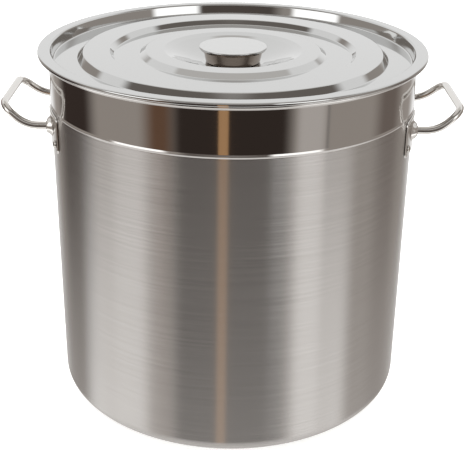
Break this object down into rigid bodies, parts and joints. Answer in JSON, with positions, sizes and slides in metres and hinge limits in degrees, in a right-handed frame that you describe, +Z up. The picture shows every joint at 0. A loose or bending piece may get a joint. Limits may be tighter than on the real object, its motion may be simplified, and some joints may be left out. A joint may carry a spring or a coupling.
{
  "type": "brew kettle",
  "caption": "Large straight-sided stainless kettle: rolled rim, bonded base, bent-rod side handles on riveted plates, and a lift-off ringed lid with a flat knob.",
  "frame": {"origin": "centre of the standing face, on the kettle's axis", "axes": "+Z up along the kettle's axis, X through the two side handles, Y across them"},
  "size_m": [0.5626, 0.4748, 0.4543],
  "materials": {
    "shell_steel": "satin brushed wall under a mirror-polished band, satin floor",
    "cap_steel": "satin",
    "core_aluminium": "as rolled",
    "rod_steel": "bright polished",
    "plate_steel": "bright polished, stamped",
    "rivet_steel": "bright polished",
    "lid_steel": "polished, pressed",
    "knob_steel": "bright polished, pressed"
  },
  "bodies": {
    "kettle": {"kettle_shell": "shell_steel", "base_core": "core_aluminium", "base_cap": "cap_steel", "handle_right": "rod_steel", "handle_plate_right": "plate_steel", "rivet_right_front": "rivet_steel", "rivet_right_back": "rivet_steel", "handle_left": "rod_steel", "handle_plate_left": "plate_steel", "rivet_left_front": "rivet_steel", "rivet_left_back": "rivet_steel"},
    "lid": {"lid": "lid_steel", "knob_cup": "knob_steel", "knob_cap": "knob_steel"}
  },
  "joints": [
    {"name": "lid_lift", "type": "slide", "parent": "kettle", "child": "lid", "axis": [0, 0, 1], "range_m": [0, 0.12]}
  ]
}
